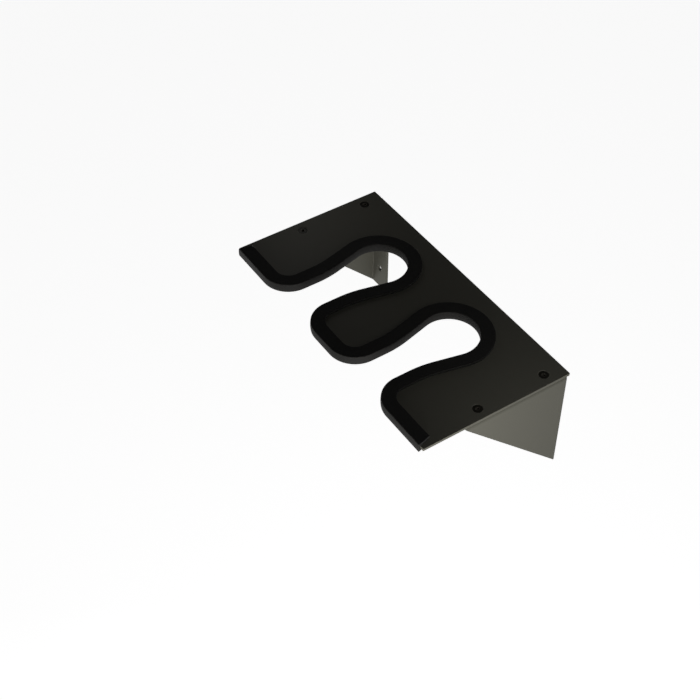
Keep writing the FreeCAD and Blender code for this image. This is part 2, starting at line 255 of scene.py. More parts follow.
def make_fine_grain():
    """Fine grain with a slow change of tone over it, as in a sprayed, moulded or plated skin."""
    group, given, result = new_group(
        "fine_grain",
        (("Place", "NodeSocketVector", None), ("Grain per metre", "NodeSocketFloat", 1200.0),
         ("Patches per metre", "NodeSocketFloat", 30.0), ("Patch contrast", "NodeSocketFloat", 0.5)),
        (("Height", "NodeSocketFloat"), ("Tone", "NodeSocketFloat"), ("Speckle", "NodeSocketFloat")))
    place = given.outputs["Place"]
    grain_scale = given.outputs["Grain per metre"]
    fine = noise_texture(group, place, grain_scale, detail=3.0, roughness=0.55)
    specks_per_grain = 2.3
    finer_scale = maths(group, "MULTIPLY", grain_scale, specks_per_grain)
    specks = add_node(group, "ShaderNodeTexVoronoi", {"Vector": place, "Scale": finer_scale})
    patches = noise_texture(group, place, given.outputs["Patches per metre"], detail=4.0, roughness=0.6)
    centred = maths(group, "SUBTRACT", patches, 0.5)
    stretched = maths(group, "MULTIPLY", centred, given.outputs["Patch contrast"])
    tone = add_node(group, "ShaderNodeMath", {0: stretched, 1: 0.5}, operation="ADD", use_clamp=True)
    group.links.new(fine, result.inputs["Height"])
    group.links.new(tone.outputs[0], result.inputs["Tone"])
    speckle = spread(group, specks.outputs["Distance"], 0.05, 0.5, 1.0, 0.0)
    group.links.new(speckle, result.inputs["Speckle"])
    return group


def make_edge_rub():
    """Broken-up mask along rounded edges, where hands and boots polish the finish."""
    group, given, result = new_group(
        "edge_rub",
        (("Place", "NodeSocketVector", None), ("Edge", "NodeSocketFloat", 0.0),
         ("Patches per metre", "NodeSocketFloat", 160.0), ("Amount", "NodeSocketFloat", 0.5)),
        (("Mask", "NodeSocketFloat"),))
    breaks = noise_texture(group, given.outputs["Place"], given.outputs["Patches per metre"], detail=5.0)
    patchy = spread(group, breaks, 0.38, 0.66, 0.0, 1.0)
    on_edge = maths(group, "MULTIPLY", patchy, given.outputs["Edge"])
    group.links.new(maths(group, "MULTIPLY", on_edge, given.outputs["Amount"]), result.inputs["Mask"])
    return group


def make_settled_dust():
    """Thin dust on faces that look up, thicker in soft drifts."""
    group, given, result = new_group(
        "settled_dust",
        (("Place", "NodeSocketVector", None), ("Drifts per metre", "NodeSocketFloat", 22.0),
         ("Amount", "NodeSocketFloat", 0.1)),
        (("Mask", "NodeSocketFloat"),))
    facing = add_node(group, "ShaderNodeNewGeometry")
    parts = add_node(group, "ShaderNodeSeparateXYZ", {0: facing.outputs["Normal"]})
    upward = spread(group, parts.outputs["Z"], 0.6, 1.0, 0.0, 1.0)
    place = given.outputs["Place"]
    drifts = noise_texture(group, place, given.outputs["Drifts per metre"], detail=6.0, roughness=0.7)
    patchy = spread(group, drifts, 0.35, 0.8, 0.15, 1.0)
    on_top = maths(group, "MULTIPLY", patchy, upward)
    group.links.new(maths(group, "MULTIPLY", on_top, given.outputs["Amount"]), result.inputs["Mask"])
    return group


def place_group(tree, name, maker, inputs):
    """A shared node group in this material, built the first time that one asks for it."""
    node = tree.nodes.new("ShaderNodeGroup")
    node.node_tree = bpy.data.node_groups.get(name) or maker()
    fill_inputs(tree, node, inputs)
    return node


def grain_over(tree, place, grains, patches, contrast):
    """Fine grain, with how many grains and patches of tone lie in a metre."""
    inputs = {"Place": place, "Grain per metre": grains, "Patches per metre": patches,
              "Patch contrast": contrast}
    return place_group(tree, "fine_grain", make_fine_grain, inputs).outputs


def rub_on_edges(tree, place, patches, amount):
    """Rubbed share of the finish on the edges that the mesh marks."""
    edge = add_node(tree, "ShaderNodeAttribute", attribute_name=EDGE).outputs["Fac"]
    inputs = {"Place": place, "Edge": edge, "Patches per metre": patches, "Amount": amount}
    return place_group(tree, "edge_rub", make_edge_rub, inputs).outputs["Mask"]


def dust_on_top(tree, place, drifts, amount):
    inputs = {"Place": place, "Drifts per metre": drifts, "Amount": amount}
    return place_group(tree, "settled_dust", make_settled_dust, inputs).outputs["Mask"]


# ---------------------------------------------------------------- materials

def new_material(name):
    """Material with only a Principled BSDF and its output, and where on the object a point lies."""
    material = bpy.data.materials.new(name)
    material.use_nodes = True
    tree = material.node_tree
    tree.nodes.clear()
    shader = tree.nodes.new("ShaderNodeBsdfPrincipled")
    output = tree.nodes.new("ShaderNodeOutputMaterial")
    tree.links.new(shader.outputs["BSDF"], output.inputs["Surface"])
    place = tree.nodes.new("ShaderNodeTexCoord").outputs["Object"]
    return material, tree, shader, place


def shade(colour, factor):
    return tuple(min(1.0, part * factor) for part in colour) + (1.0,)


def raise_bump(tree, shader, height, distance, strength):
    inputs = {"Height": height, "Distance": distance, "Strength": strength}
    bump = add_node(tree, "ShaderNodeBump", inputs)
    tree.links.new(bump.outputs["Normal"], shader.inputs["Normal"])


def make_powder_coat(colour):
    """Satin olive-black powder coat: orange peel, faint clouds, edges rubbed smoother and lighter."""
    material, tree, shader, place = new_material("olive_black_powder_coat")
    grain = grain_over(tree, place, grains=1900.0, patches=22.0, contrast=0.5)
    rub = rub_on_edges(tree, place, patches=190.0, amount=0.5)
    dust = dust_on_top(tree, place, drifts=18.0, amount=0.006)
    clouded = blend_colours(tree, grain["Tone"], shade(colour, 0.97), shade(colour, 1.03))
    speckle_share = maths(tree, "MULTIPLY", grain["Speckle"], 0.15)
    speckled = blend_colours(tree, speckle_share, clouded, shade(colour, 1.5))
    rubbed = blend_colours(tree, rub, speckled, shade(colour, 2.0))
    dusty = blend_colours(tree, dust, rubbed, (0.34, 0.32, 0.29, 1.0))
    satin = spread(tree, grain["Tone"], 0.0, 1.0, 0.61, 0.64)
    grained = maths(tree, "ADD", satin, maths(tree, "MULTIPLY", grain["Speckle"], 0.06))
    polished = maths(tree, "SUBTRACT", grained, maths(tree, "MULTIPLY", rub, 0.14))
    fill_inputs(tree, shader, {"Base Color": dusty, "Roughness": polished, "Specular IOR Level": 0.25})
    raise_bump(tree, shader, grain["Height"], 0.02 * MM, 0.55)
    return material


def make_edging_rubber(colour):
    """Soft matte black rubber: extrusion lines along it, fine pores, a grey bloom in patches."""
    material, tree, shader, place = new_material("soft_black_rubber")
    run = add_node(tree, "ShaderNodeAttribute", attribute_name=PLACE).outputs["Vector"]
    lines_per_metre = (55.0, 2600.0, 1.0)
    stretched = add_node(tree, "ShaderNodeVectorMath", {0: run, 1: lines_per_metre}, operation="MULTIPLY")
    lines = noise_texture(tree, stretched.outputs["Vector"], 1.0, detail=2.0)
    grain = grain_over(tree, place, grains=1500.0, patches=75.0, contrast=1.4)
    rub = rub_on_edges(tree, place, patches=120.0, amount=0.6)
    dust = dust_on_top(tree, place, drifts=60.0, amount=0.008)
    clouded = blend_colours(tree, grain["Tone"], shade(colour, 0.65), shade(colour, 1.5))
    pore_share = maths(tree, "MULTIPLY", grain["Speckle"], 0.5)
    pored = blend_colours(tree, pore_share, clouded, shade(colour, 0.4))
    bloomed = blend_colours(tree, rub, pored, shade(colour, 3.0))
    dusty = blend_colours(tree, dust, bloomed, (0.25, 0.24, 0.22, 1.0))
    matte = spread(tree, grain["Tone"], 0.0, 1.0, 0.80, 0.92)
    lined = maths(tree, "SUBTRACT", matte, maths(tree, "MULTIPLY", lines, 0.08))
    pores = maths(tree, "MULTIPLY", grain["Speckle"], -0.7)
    relief = maths(tree, "ADD", maths(tree, "ADD", grain["Height"], pores), lines)
    fill_inputs(tree, shader, {"Base Color": dusty, "Roughness": lined, "Specular IOR Level": 0.18})
    raise_bump(tree, shader, relief, 0.06 * MM, 0.6)
    return material


def make_black_oxide(colour):
    """Black oxide on a turned and rolled screw: dark, slightly oily, with worn steel showing on the edges,
    which are also painted lighter as a highlight.
    """
    material, tree, shader, place = new_material("black_oxide_steel")
    grain = grain_over(tree, place, grains=3800.0, patches=420.0, contrast=1.3)
    rub = rub_on_edges(tree, place, patches=900.0, amount=0.7)
    clouded = blend_colours(tree, grain["Tone"], shade(colour, 0.7), shade(colour, 1.5))
    # Edge colour: bare steel where the oxide is worn, and also a painted highlight that lightens the head's
    # chamfer edges.
    rubbed = blend_colours(tree, rub, clouded, (0.22, 0.205, 0.17, 1.0))
    oily = spread(tree, grain["Tone"], 0.0, 1.0, 0.34, 0.52)
    metal = spread(tree, rub, 0.0, 1.0, 0.35, 0.85)
    fill_inputs(tree, shader, {"Base Color": rubbed, "Roughness": oily, "Metallic": metal})
    shader.inputs["Specular IOR Level"].default_value = 0.2
    raise_bump(tree, shader, grain["Height"], 0.012 * MM, 0.5)
    return material


def make_zinc_plate(colour):
    """Bright zinc plate with a cloudy passivate, faintly blue and straw-coloured."""
    material, tree, shader, place = new_material("zinc_plated_steel")
    grain = grain_over(tree, place, grains=4200.0, patches=520.0, contrast=1.6)
    rub = rub_on_edges(tree, place, patches=800.0, amount=0.5)
    red, green, blue = colour
    straw = (red * 1.02, green * 0.97, blue * 0.86, 1.0)
    cool = (red * 0.82, green * 0.87, blue * 0.95, 1.0)
    passivate = blend_colours(tree, grain["Tone"], cool, straw)
    rubbed = blend_colours(tree, rub, passivate, (0.74, 0.74, 0.73, 1.0))
    cloudy = spread(tree, grain["Tone"], 0.0, 1.0, 0.26, 0.42)
    fill_inputs(tree, shader, {"Base Color": rubbed, "Roughness": cloudy, "Metallic": 1.0})
    raise_bump(tree, shader, grain["Height"], 0.01 * MM, 0.5)
    return material


def make_nylon(colour):
    """Off-white moulded nylon, a little glossy where the thread has cut it."""
    material, tree, shader, place = new_material("nylon_insert")
    grain = grain_over(tree, place, grains=3500.0, patches=700.0, contrast=1.2)
    clouded = blend_colours(tree, grain["Tone"], shade(colour, 0.85), shade(colour, 1.1))
    glossy = spread(tree, grain["Speckle"], 0.0, 1.0, 0.38, 0.5)
    fill_inputs(tree, shader, {"Base Color": clouded, "Roughness": glossy})
    raise_bump(tree, shader, grain["Height"], 0.01 * MM, 0.4)
    return material


def make_floor_finish(colour):
    """Pale seamless studio floor, lit evenly so that it stays plain."""
    material, tree, shader, place = new_material("pale_studio_floor")
    grain = grain_over(tree, place, grains=300.0, patches=2.0, contrast=0.2)
    clouded = blend_colours(tree, grain["Tone"], shade(colour, 0.985), shade(colour, 1.0))
    white = (1.0, 1.0, 1.0, 1.0)
    fill_inputs(tree, shader, {"Base Color": clouded, "Roughness": 0.9, "Emission Color": white,
                               "Emission Strength": 0.9})
    return material


def finish_of(name):
    """A finish in its chosen colour, built the first time that a piece asks for it."""
    finishes = bpy.context.scene.rack_finishes
    makers = {
        "olive_black_powder_coat": (make_powder_coat, finishes.coat_colour),
        "soft_black_rubber": (make_edging_rubber, finishes.rubber_colour),
        "black_oxide_steel": (make_black_oxide, finishes.oxide_colour),
        "zinc_plated_steel": (make_zinc_plate, finishes.zinc_colour),
        "nylon_insert": (make_nylon, finishes.nylon_colour),
        "pale_studio_floor": (make_floor_finish, finishes.floor_colour),
    }
    maker, colour = makers[name]
    return bpy.data.materials.get(name) or maker(tuple(colour))


# ---------------------------------------------------------------- mesh helpers

def add_piece(name, mesh, finishes, slot, *nodes):
    """Puts a finished mesh in the scene in place of these CAD nodes."""
    piece = bpy.data.objects.new(name, mesh)
    bpy.context.scene.collection.objects.link(piece)
    for finish in finishes:
        mesh.materials.append(finish_of(finish))
    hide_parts(*nodes)
    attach(piece, BODY)
    return piece


def finished_mesh(name, shape):
    mesh = bpy.data.meshes.new(name)
    shape.to_mesh(mesh)
    shape.free()
    return mesh


def mark_edges(mesh, marks, domain="POINT"):
    """Writes the edge mask, one value for each point or face of the mesh."""
    attribute = mesh.attributes.new(EDGE, "FLOAT", domain)
    attribute.data.foreach_set("value", marks)


def settle_normals(mesh, sharp_angle):
    """Smooth shading, split where two faces meet at more than this angle."""
    mesh.polygons.foreach_set("use_smooth", [True] * len(mesh.polygons))
    mesh.set_sharp_from_angle(angle=sharp_angle)


def rounded_copy(node, name, radius):
    """A node's own shape with its flat facets merged and its sheared edges rounded over."""
    same_place = 0.002 * MM
    flat_angle = math.radians(0.6)
    sheared_angle = math.radians(34)
    shape = bmesh.new()
    shape.from_mesh(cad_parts[node].data)
    bmesh.ops.remove_doubles(shape, verts=shape.verts, dist=same_place)
    bmesh.ops.dissolve_limit(shape, angle_limit=flat_angle, verts=shape.verts, edges=shape.edges,
                             use_dissolve_boundaries=False)
    sheared = [edge for edge in shape.edges if edge.is_manifold and edge.calc_face_angle() > sheared_angle]
    rounded = bmesh.ops.bevel(shape, geom=sheared, offset=radius, offset_type="OFFSET", segments=3,
                              profile=0.5, affect="EDGES", clamp_overlap=True)
    shape.faces.index_update()
    marked = {face.index for face in rounded["faces"]}
    mesh = finished_mesh(name, shape)
    mark_edges(mesh, [float(index in marked) for index in range(len(mesh.polygons))], "FACE")
    settle_normals(mesh, sharp_angle=math.radians(40))
    return mesh


def add_sheet_piece(name, mesh, node):
    """Puts a coated sheet in the scene; its flat faces keep their own normals up to the rounded edges."""
    piece = add_piece(name, mesh, ["olive_black_powder_coat"], "powder_coat", node)
    weighted = piece.modifiers.new("flat_faces", "WEIGHTED_NORMAL")
    weighted.mode = "FACE_AREA"
    weighted.keep_sharp = True


def ring_angles():
    return [2 * math.pi * step / RING_STEPS for step in range(RING_STEPS)]


def circle_ring(radius, height):
    return [(radius, height)] * RING_STEPS


def hexagon_radius(flats, angle):
    """Distance from the middle of a hexagon to its side in this direction."""
    from_flat = (angle + math.pi / 6) % (math.pi / 3) - math.pi / 6
    return flats / 2 / math.cos(from_flat)


def hexagon_ring(flats, height):
    return [(hexagon_radius(flats, angle), height) for angle in ring_angles()]


def turned_mesh(name, rings, centre, close=False, second_finish=()):
    """Skin through rings of (radius, height), turned around an upright line at centre.
    An open skin starts and ends in a fan; a closed one runs from its last ring back to its first.
    The bands between rings that second_finish numbers take the second finish."""
    least_rubbed = math.radians(20)
    fully_rubbed = math.radians(50)
    shape = bmesh.new()
    rows = []
    for ring in rings:
        row = []
        for angle, (radius, height) in zip(ring_angles(), ring):
            corner = (centre.x + radius * math.cos(angle), centre.y + radius * math.sin(angle), height)
            row.append(shape.verts.new(corner))
        rows.append(row)
    bands = list(zip(rows, rows[1:] + rows[:1])) if close else list(zip(rows, rows[1:]))
    for number, (first, second) in enumerate(bands):
        for step in range(RING_STEPS):
            after = (step + 1) % RING_STEPS
            face = shape.faces.new((first[step], first[after], second[after], second[step]))
            face.material_index = int(number in second_finish)
    if not close:
        for row, ring in ((rows[0], rings[0]), (rows[-1], rings[-1])):
            height = sum(place[1] for place in ring) / RING_STEPS
            middle = shape.verts.new((centre.x, centre.y, height))
            for step in range(RING_STEPS):
                shape.faces.new((row[step], row[(step + 1) % RING_STEPS], middle))
    bmesh.ops.recalc_face_normals(shape, faces=shape.faces)
    shape.normal_update()
    bend = {edge: edge.calc_face_angle() for edge in shape.edges if edge.is_manifold}
    shape.verts.index_update()
    marks = []
    for corner in shape.verts:
        sharpest = max((bend.get(edge, 0.0) for edge in corner.link_edges), default=0.0)
        marks.append(min(1.0, sharpest / fully_rubbed) if sharpest > least_rubbed else 0.0)
    mesh = finished_mesh(name, shape)
    mark_edges(mesh, marks)
    settle_normals(mesh, sharp_angle=math.radians(38))
    return mesh


# ---------------------------------------------------------------- the edging

def arc_places(centre, radius, start, end, step, steel_inside=True):
    """Places on an arc, each with its direction into the steel, which lies inside or outside the arc."""
    count = max(2, math.ceil(abs(end - start) * radius / step))
    for number in range(count):
        angle = start + (end - start) * number / count
        out = Vector((math.cos(angle), math.sin(angle), 0.0))
        yield centre + out * radius, -out if steel_inside else out


def line_places(start, end, inward, step):
    count = max(1, math.ceil((end - start).length / step))
    for number in range(count):
        yield start.lerp(end, number / count), inward


def slot_side(sizes, centre_x):
    """Places along the right half of a slot's edge, from its mouth to its deepest point."""
    step = sizes.edging_step
    taper = sizes.taper_angle
    radius = sizes.slot_radius
    blend = sizes.neck_blend_radius
    outward = Vector((math.cos(taper), -math.sin(taper), 0.0))
    forward = Vector((-math.sin(taper), -math.cos(taper), 0.0))
    taper_length = (sizes.neck_step - (radius + blend) * (1 - math.cos(taper))) / math.sin(taper)
    centre = Vector((centre_x, -sizes.rear_band - radius, 0.0))
    taper_start = centre + outward * radius
    taper_end = taper_start + forward * taper_length
    blend_centre = taper_end + outward * blend
    neck_rear = Vector((centre_x + (radius - sizes.neck_step), blend_centre.y, 0.0))
    neck_front = neck_rear - Vector((0.0, sizes.neck_length, 0.0))
    mouth_centre = neck_front + Vector((sizes.mouth_radius, 0.0, 0.0))
    places = list(arc_places(mouth_centre, sizes.mouth_radius, math.radians(270), math.pi, step))
    places += line_places(neck_front, neck_rear, Vector((1.0, 0.0, 0.0)), step)
    places += arc_places(blend_centre, blend, math.pi, math.pi - taper, step)
    places += line_places(taper_end, taper_start, outward, step)
    places += arc_places(centre, radius, -taper, math.pi / 2, step, steel_inside=False)
    return places + [(centre + Vector((0.0, radius, 0.0)), Vector((0.0, 1.0, 0.0)))]


def slot_places(sizes, centre_x):
    """Places along one slot's edge, from its right mouth round the rear end to its left one."""
    right = slot_side(sizes, centre_x)
    left = []
    for place, inward in reversed(right[:-1]):
        left.append((Vector((2 * centre_x - place.x, place.y, 0.0)), Vector((-inward.x, inward.y, 0.0))))
    return right + left


def front_places(sizes, end_x):
    """Places along the whole front edge, from the right end of the edging to its left end."""
    backward = Vector((0.0, 1.0, 0.0))
    right_slot = slot_places(sizes, sizes.slot_centre_x)
    left_slot = slot_places(sizes, -sizes.slot_centre_x)
    front_y = right_slot[0][0].y
    ends = (Vector((end_x, front_y, 0.0)), Vector((-end_x, front_y, 0.0)))
    places = list(line_places(ends[0], right_slot[0][0], backward, sizes.edging_step))
    places += right_slot
    places += list(line_places(right_slot[-1][0], left_slot[0][0], backward, sizes.edging_step))[1:]
    places += left_slot
    places += list(line_places(left_slot[-1][0], ends[1], backward, sizes.edging_step))[1:]
    places.append((ends[1], backward))
    for step_in in (sizes.edging_end_relief, sizes.edging_end_round):
        inset = Vector((step_in, 0.0, 0.0))
        places.insert(1, (places[0][0] - inset, backward))
        places.insert(-1, (places[-1][0] + inset, backward))
    return places


def corner_points(centre, radius, start, end, count):
    """Points around a rounded corner of the section."""
    points = []
    for number in range(count + 1):
        angle = math.radians(start + (end - start) * number / count)
        points.append((centre[0] + radius * math.cos(angle), centre[1] + radius * math.sin(angle)))
    return points


def between(first, second, count):
    """Points inside a straight side of the section."""
    points = []
    for number in range(1, count + 1):
        share = number / (count + 1)
        points.append(tuple(start + (end - start) * share for start, end in zip(first, second)))
    return points


def edging_section(sizes, levels):
    """Closed outline of the edging's section, as (distance into the steel, height).
    It runs from the upper lip over the web to the lower lip, and back through the groove.
    The web is slightly crowned, and each lip slopes onto the steel."""
    low, high, steel_low, steel_high = levels
    web = -sizes.edging_web
    reach = sizes.edging_reach
    corner = sizes.edging_round
    under_lip = 1.1 * MM
    lip = 0.5 * MM
    crown = 0.22 * MM
    dish = 0.12 * MM
    seat_gap = 0.2 * MM
    upper = corner_points((reach - under_lip, steel_high + under_lip), under_lip, -90, 0, count=5)
    upper += corner_points((reach - lip, high - lip), lip, 0, 90, count=6)
    top_start, top_end = upper[-1], (web + corner, high)
    for point in between(top_start, top_end, count=7):
        share = (point[0] - top_end[0]) / (top_start[0] - top_end[0])
        upper.append((point[0], point[1] - dish * math.sin(math.pi * share)))
    upper += corner_points((web + corner, high - corner), corner, 90, 180, count=6)
    front = []
    for point in between(upper[-1], (web, low + corner), count=5):
        share = (point[1] - low - corner) / (high - low - 2 * corner)
        front.append((point[0] - crown * math.sin(math.pi * share), point[1]))
    middle = (high + low) / 2
    lower = [(distance, 2 * middle - height) for distance, height in reversed(upper)]
    return upper + front + lower + [(-seat_gap, steel_low), (-seat_gap, steel_high)]


def eased_section(section, outer, inner, web, levels):
    """The section near a cut end.
    Its outer edges are eased by one amount and its edges on the steel by another."""
    low, high, steel_low, steel_high = levels
    middle = (low + high) / 2
    points = []
    for distance, height in section:
        side = math.copysign(1.0, height - middle)
        leg_middle = (steel_high + high) / 2 if side > 0 else (steel_low + low) / 2
        on_web = distance < 0
        if on_web:
            from_middle = distance + web / 2
            ease = min(outer if from_middle < 0 else inner, abs(from_middle))
            distance -= math.copysign(ease, from_middle)
        from_leg = (height - leg_middle) * side
        if from_leg > 0 or not on_web:
            ease = min(outer if from_leg > 0 else inner, abs(from_leg))
            height -= side * math.copysign(ease, from_leg)
        points.append((distance, height))
    return points


def slanted_x(sizes, x, end_x, distance):
    """Moves a place on a straight end run so that the run's cut end leans; nothing else moves."""
    run_start = sizes.slot_centre_x + sizes.slot_radius - sizes.neck_step + sizes.mouth_radius
    share = (abs(x) - run_start) / (end_x - run_start)
    if share <= 0:
        return x
    lean = (distance + sizes.edging_web) * math.tan(sizes.edging_slant)
    return math.copysign(abs(x) - share * lean, x)


def edging_row(sizes, levels, section, place, inward, end_x, along):
    """Corners round the section at one place, each with how far across the rubber it lies.
    The outside ripples a little. Towards a cut end the edges are eased and the lips gape."""
    low, high, steel_low, steel_high = levels
    gape_length = 8 * MM
    clear_of_steel = 0.5 * MM
    ripple_height = 0.05 * MM
    ripples_along, ripples_across, ripple_layer = 90.0, 60.0, 3.7
    from_end = end_x - abs(place.x)
    opening = sizes.edging_gape * max(0.0, 1 - from_end / gape_length) ** 2
    outer = max(0.0, sizes.edging_end_round - from_end)
    inner = max(0.0, sizes.edging_end_relief - from_end)
    across = 0.0
    before = section[0]
    for distance, height in eased_section(section, outer, inner, sizes.edging_web, levels):
        across += math.hypot(distance - before[0], height - before[1])
        before = (distance, height)
        lift = opening * max(0.0, distance) / sizes.edging_reach
        if height > steel_high + clear_of_steel or height < steel_low - clear_of_steel:
            ripple_place = Vector((along * ripples_along, across * ripples_across, ripple_layer))
            lift += noise.noise(ripple_place) * ripple_height
        corner = place + inward * distance
        if inward.x == 0.0:
            corner.x = slanted_x(sizes, corner.x, end_x, distance)
        corner.z = height + math.copysign(lift, height - (low + high) / 2)
        yield corner, across


def edging_marks(sizes, levels, section):
    """Edge mask around the section: its two outer corners."""
    low, high = levels[:2]
    marks = []
    for distance, height in section:
        near_front = distance < sizes.edging_round - sizes.edging_web
        near_level = abs(height - (low + high) / 2) > (high - low) / 2 - sizes.edging_round
        marks.append(float(near_front and near_level))
    return marks


def make_edging_mesh(sizes):
    """Rows of corners round the section, all along the front edge, with a flat cut at each end."""
    low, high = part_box("edge_trim")
    plate_low, plate_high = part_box("top_plate")
    levels = (low.z, high.z, plate_low.z, plate_high.z)
    section = edging_section(sizes, levels)
    places = front_places(sizes, high.x)
    shape = bmesh.new()
    rows, runs = [], []
    along = 0.0
    last = places[0][0]
    for place, inward in places:
        along += (place - last).length
        last = place
        row = []
        for corner, across in edging_row(sizes, levels, section, place, inward, high.x, along):
            row.append(shape.verts.new(corner))
            runs += [along, across, 0.0]
        rows.append(row)
    shape.faces.new(rows[0][::-1])
    shape.faces.new(rows[-1])
    count = len(section)
    for first, second in zip(rows, rows[1:]):
        for step in range(count):
            after = (step + 1) % count
            shape.faces.new((first[step], second[step], second[after], first[after]))
    bmesh.ops.recalc_face_normals(shape, faces=shape.faces)
    mesh = finished_mesh("edge_trim_rubber", shape)
    mesh.attributes.new(PLACE, "FLOAT_VECTOR", "POINT")
    mesh.attributes[PLACE].data.foreach_set("vector", runs)
    mark_edges(mesh, edging_marks(sizes, levels, section) * len(rows))
    settle_normals(mesh, sharp_angle=math.radians(50))
    return mesh


# ---------------------------------------------------------------- fasteners

def thread_depth_at(share):
    """Depth of a rolled thread, 0 at the flat crest and 1 at the root, for a share of the pitch."""
    flat_crest = 0.12
    flank = 0.7
    from_crest = 1 - abs(share - 0.5) * 2
    return min(1.0, max(0.0, (from_crest - flat_crest) / flank))


def rings_along(radius, height, steps):
    """Circles that step out from this radius and up from this height, each by millimetres."""
    return [circle_ring(radius + out * MM, height + up * MM) for out, up in steps]


def screw_rings(sizes, low_z, high_z, head_radius):
    """From the bottom of the socket, over the head and down the thread to the tip."""
    flats = sizes.socket_flats
    floor_z = high_z - sizes.socket_depth
    cone_z = high_z - (head_radius - SCREW_RADIUS)
    rings = [
        circle_ring(0.12 * MM, floor_z - 0.55 * MM),
        circle_ring(flats * 0.40, floor_z - 0.08 * MM),
        hexagon_ring(flats * 0.96, floor_z),
        hexagon_ring(flats, floor_z + 0.08 * MM),
        hexagon_ring(flats, high_z - 0.22 * MM),
        hexagon_ring(flats + 0.28 * MM, high_z - 0.03 * MM),
        circle_ring(flats * 0.5 + 0.75 * MM, high_z),
    ]
    head_edge = ((-0.45, 0.0), (-0.14, -0.03), (-0.02, -0.12), (-0.10, -0.24))
    rings += rings_along(head_radius, high_z, head_edge)
    rings += rings_along(SCREW_RADIUS, cone_z, ((0.05, 0.05), (-0.02, -0.2), (-0.02, -1.0)))
    crest_radius = SCREW_RADIUS - 0.02 * MM
    thread_top = cone_z - 1.2 * MM
    tip_chamfer = 0.7 * MM
    steps_per_pitch = 10
    count = int((thread_top - low_z) / sizes.thread_pitch * steps_per_pitch)
    for number in range(count + 1):
        height = thread_top - (thread_top - low_z) * number / count
        limit = SCREW_RADIUS - tip_chamfer + (height - low_z)
        ring = []
        for angle in ring_angles():
            share = (height / sizes.thread_pitch - angle / (2 * math.pi)) % 1.0
            ring.append((min(crest_radius - sizes.thread_depth * thread_depth_at(share), limit), height))
        rings.append(ring)
    return rings


def washer_rings(low_z, high_z, radius):
    """Stamped washer: rolled over at the top edge, with a small burr corner below."""
    bore = WASHER_BORE_RADIUS
    rings = rings_along(bore, high_z, ((0.10, 0.0),))
    rings += rings_along(radius, high_z, ((-0.26, 0.0), (-0.08, -0.08), (0.0, -0.28)))
    rings += rings_along(radius, low_z, ((0.0, 0.06), (-0.06, 0.0)))
    rings += rings_along(bore, low_z, ((0.22, 0.0), (0.05, 0.10), (0.0, 0.30)))
    return rings + rings_along(bore, high_z, ((0.0, -0.10),))


def nut_rings(low_z, high_z, flats):
    """Hexagon with bevelled corners and a collar curled in over the locking ring."""
    bore = SCREW_RADIUS
    collar = NUT_COLLAR_RADIUS
    hex_z = low_z + NUT_COLLAR_HEIGHT
    rings = rings_along(bore, high_z, ((0.0, -0.35), (0.35, 0.0)))
    corner_inset = 0.05 * MM
    bevel_slope = 0.55
    bevel_levels = [0.06 * step * MM for step in range(7)]
    heights = [high_z - level for level in bevel_levels]
    heights += [hex_z + level for level in reversed(bevel_levels)]
    for height in heights:
        depth = min(high_z - height, height - hex_z)
        limit = flats / 2 - corner_inset + depth / bevel_slope
        rings.append([(min(hexagon_radius(flats, angle), limit), height) for angle in ring_angles()])
    rings += rings_along(collar, hex_z, ((0.18, -0.02), (0.0, -0.16)))
    curl = ((0.0, 0.55), (-0.10, 0.24), (-0.32, 0.05), (-0.50, 0.0), (-0.58, 0.08), (-0.60, 0.22))
    rings += rings_along(collar, low_z, curl)
    return rings + rings_along(bore, low_z, ((0.10, 0.28), (-0.02, 0.40), (-0.02, 1.30), (0.0, 1.40)))


# ---------------------------------------------------------------- operators

class RACK_OT_top_plate(bpy.types.Operator):
    """Slotted top plate with rounded sheet edges and powder coat."""
    bl_idname = "rack.top_plate"
    bl_label = "Top Plate"

    def execute(self, context):
        sizes = context.scene.rack_sizes
        mesh = rounded_copy("top_plate", "top_plate_coated", sizes.sheet_edge_radius)
        add_sheet_piece("top_plate_coated", mesh, "top_plate")
        return {"FINISHED"}


class RACK_OT_brackets(bpy.types.Operator):
    """Two bent side brackets with rounded sheet edges and powder coat."""
    bl_idname = "rack.brackets"
    bl_label = "Side Brackets"

    def execute(self, context):
        sizes = context.scene.rack_sizes
        for side in SIDES:
            node = "bracket_" + side
            mesh = rounded_copy(node, node + "_coated", sizes.sheet_edge_radius)
            add_sheet_piece(node + "_coated", mesh, node)
        return {"FINISHED"}


class RACK_OT_edging(bpy.types.Operator):
    """Rubber edging pushed over the front edge and round both slots."""
    bl_idname = "rack.edging"
    bl_label = "Edging"

    def execute(self, context):
        mesh = make_edging_mesh(context.scene.rack_sizes)
        add_piece("edge_trim_rubber", mesh, ["soft_black_rubber"], "edging", "edge_trim")
        return {"FINISHED"}


class RACK_OT_screws(bpy.types.Operator):
    """Countersunk socket screws with a hexagon socket and a rolled thread."""
    bl_idname = "rack.screws"
    bl_label = "Screws"

    def execute(self, context):
        sizes = context.scene.rack_sizes
        for spot in SPOTS:
            node = "screw_" + spot
            low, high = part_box(node)
            rings = screw_rings(sizes, low.z, high.z, (high.x - low.x) / 2)
            mesh = turned_mesh(node + "_threaded", rings, (low + high) / 2)
            add_piece(node + "_threaded", mesh, ["black_oxide_steel"], "black_oxide", node)
        return {"FINISHED"}


class RACK_OT_washers(bpy.types.Operator):
    """Stamped washers under the nuts."""
    bl_idname = "rack.washers"
    bl_label = "Washers"

    def execute(self, context):
        for spot in SPOTS:
            node = "washer_" + spot
            low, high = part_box(node)
            rings = washer_rings(low.z, high.z, (high.x - low.x) / 2)
            mesh = turned_mesh(node + "_stamped", rings, (low + high) / 2, close=True)
            add_piece(node + "_stamped", mesh, ["zinc_plated_steel"], "zinc", node)
        return {"FINISHED"}


